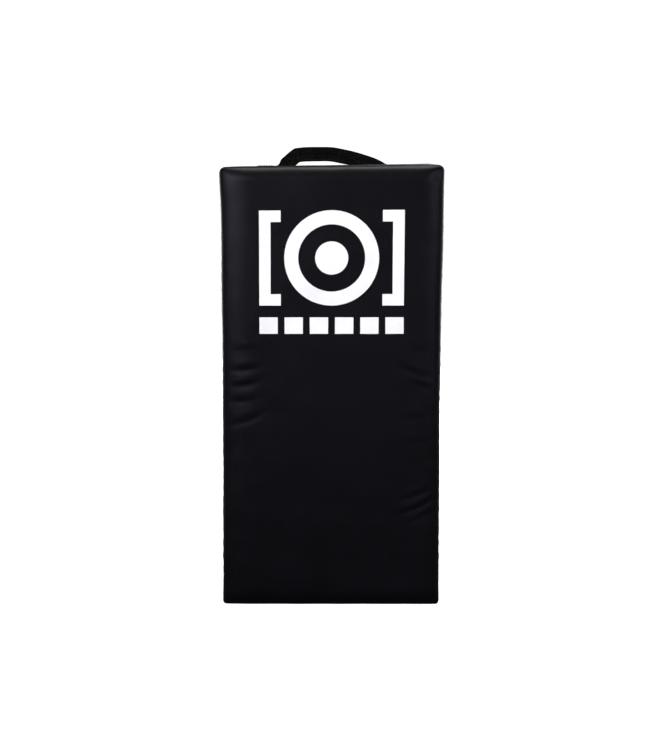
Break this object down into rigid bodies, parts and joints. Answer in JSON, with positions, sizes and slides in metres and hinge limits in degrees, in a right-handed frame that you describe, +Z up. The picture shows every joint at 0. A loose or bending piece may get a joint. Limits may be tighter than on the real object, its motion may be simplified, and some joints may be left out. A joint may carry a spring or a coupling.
{
  "type": "kick shield",
  "caption": "Tall rectangular foam-filled kick shield in black synthetic leather, with a folded webbing handle on top and a hand grip, padded forearm strap and zip behind.",
  "frame": {"origin": "centre of the bottom face, on the surface that the shield stands on", "axes": "+Z up along the shield's height, -Y out of the strike face, +Y towards the holder, +X to the right seen from the strike side"},
  "size_m": [0.35, 0.2158, 0.7305],
  "materials": {
    "cover_leather": "semi-matt grained",
    "patch_leather": "semi-matt grained",
    "sleeve_leather": "semi-matt grained",
    "dense_foam": "closed-cell foam",
    "soft_foam": "open-cell foam",
    "print_ink": "satin screen print",
    "zip_cloth": "fine twill",
    "zip_nylon": "satin",
    "zip_metal": "satin black",
    "webbing": "plain weave"
  },
  "bodies": {
    "shield": {"front_panel": "cover_leather", "gusset_left": "cover_leather", "gusset_right": "cover_leather", "gusset_top": "cover_leather", "gusset_bottom": "cover_leather", "back_panel_upper": "cover_leather", "back_panel_lower": "cover_leather", "strike_foam": "dense_foam", "core_foam": "soft_foam", "backing_foam": "dense_foam", "strike_print": "print_ink", "zip_tape_upper": "zip_cloth", "zip_tape_lower": "zip_cloth", "zip_coil_upper": "zip_nylon", "zip_coil_lower": "zip_nylon", "zip_end_stops": "zip_metal", "zip_patch_left": "patch_leather", "zip_patch_right": "patch_leather", "back_band_left": "webbing", "back_band_right": "webbing", "top_handle_tab_left": "webbing", "top_handle_tab_right": "webbing", "hand_grip_tab_left": "webbing", "hand_grip_tab_right": "webbing", "forearm_strap_tab_left": "webbing", "forearm_strap_tab_right": "webbing"},
    "top_handle": {"top_handle": "webbing"},
    "hand_grip": {"hand_grip": "webbing"},
    "forearm_strap": {"forearm_strap": "webbing", "forearm_sleeve": "sleeve_leather"},
    "zip_slider": {"zip_slider": "zip_metal"},
    "zip_pull": {"zip_pull": "zip_metal"}
  },
  "joints": [
    {"name": "top_handle_swing", "type": "hinge", "parent": "shield", "child": "top_handle", "pos_m": [0, 0, 0.704], "axis": [1, 0, 0], "range_deg": [-75, 75], "stiffness_Nm_per_rad": 0.05},
    {"name": "hand_grip_swing", "type": "hinge", "parent": "shield", "child": "hand_grip", "pos_m": [0, 0.081, 0.45], "axis": [1, 0, 0], "range_deg": [-60, 60], "stiffness_Nm_per_rad": 0.08},
    {"name": "forearm_strap_swing", "type": "hinge", "parent": "shield", "child": "forearm_strap", "pos_m": [0, 0.09, 0.24], "axis": [1, 0, 0], "range_deg": [-30, 30], "stiffness_Nm_per_rad": 0.3},
    {"name": "zip_travel", "type": "slide", "parent": "shield", "child": "zip_slider", "axis": [1, 0, 0], "range_m": [0, 0.284]},
    {"name": "zip_pull_turn", "type": "hinge", "parent": "zip_slider", "child": "zip_pull", "pos_m": [-0.142, 0.0783, 0.06], "axis": [0, 0, 1], "range_deg": [0, 165]}
  ]
}
